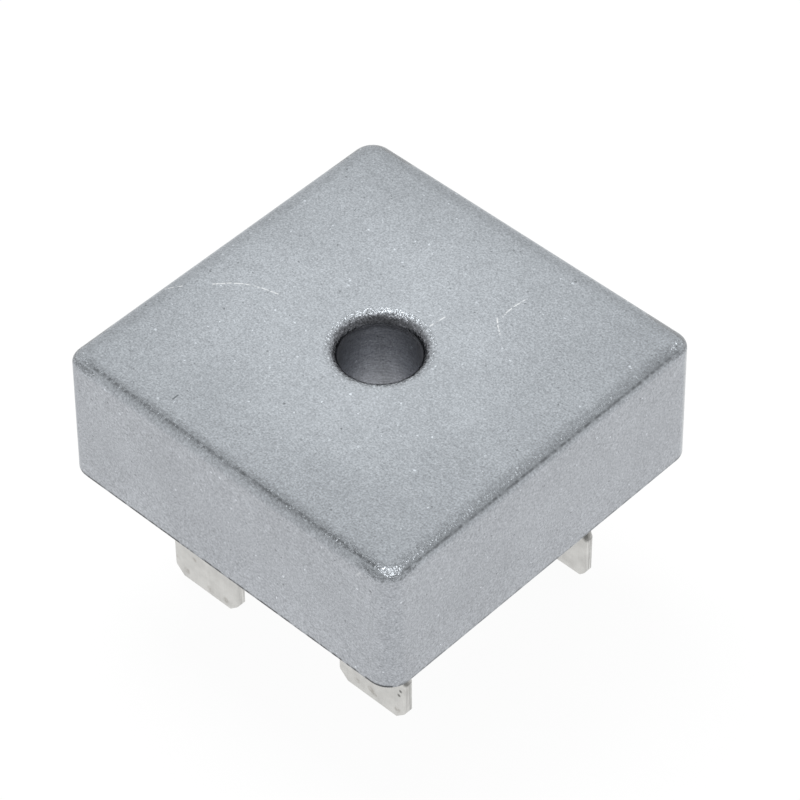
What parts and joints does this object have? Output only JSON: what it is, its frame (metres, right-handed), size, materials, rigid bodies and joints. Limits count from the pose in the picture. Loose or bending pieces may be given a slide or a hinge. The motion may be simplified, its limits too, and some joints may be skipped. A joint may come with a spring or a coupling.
{
  "type": "bridge rectifier",
  "caption": "Square metal-cased bridge rectifier with a round-lipped mounting bore through its heat-sink face and flat push-on terminals below the rim.",
  "frame": {"origin": "midway between the terminals and on the axis of the mounting bore, on the plane of the terminal tips", "axes": "+Z along the mounting bore, up to the heat-sink face; X and Y along the sides of the case"},
  "size_m": [0.0288, 0.0288, 0.0221],
  "materials": {
    "case_aluminium": "fine shot-blasted",
    "insulation": "matt filled sheet",
    "potting_epoxy": "satin cast epoxy",
    "tinned_terminal": "matt tin plate",
    "copper": "stamped copper",
    "silicon": "lapped silicon",
    "solder": "reflowed solder"
  },
  "bodies": {
    "root": {"case": "case_aluminium", "insulating_sheet": "insulation", "potting": "potting_epoxy", "terminal_plus": "tinned_terminal", "terminal_minus": "tinned_terminal", "terminal_ac_1": "tinned_terminal", "terminal_ac_2": "tinned_terminal", "plus_plate": "copper", "minus_plate": "copper", "ac_strap_1": "copper", "ac_strap_2": "copper", "diode_die_1": "silicon", "diode_die_2": "silicon", "diode_die_3": "silicon", "diode_die_4": "silicon", "plate_solder_1": "solder", "plate_solder_2": "solder", "plate_solder_3": "solder", "plate_solder_4": "solder", "strap_solder_1": "solder", "strap_solder_2": "solder", "strap_solder_3": "solder", "strap_solder_4": "solder", "foot_solder_plus": "solder", "foot_solder_minus": "solder", "foot_solder_ac_1": "solder", "foot_solder_ac_2": "solder"}
  },
  "joints": []
}
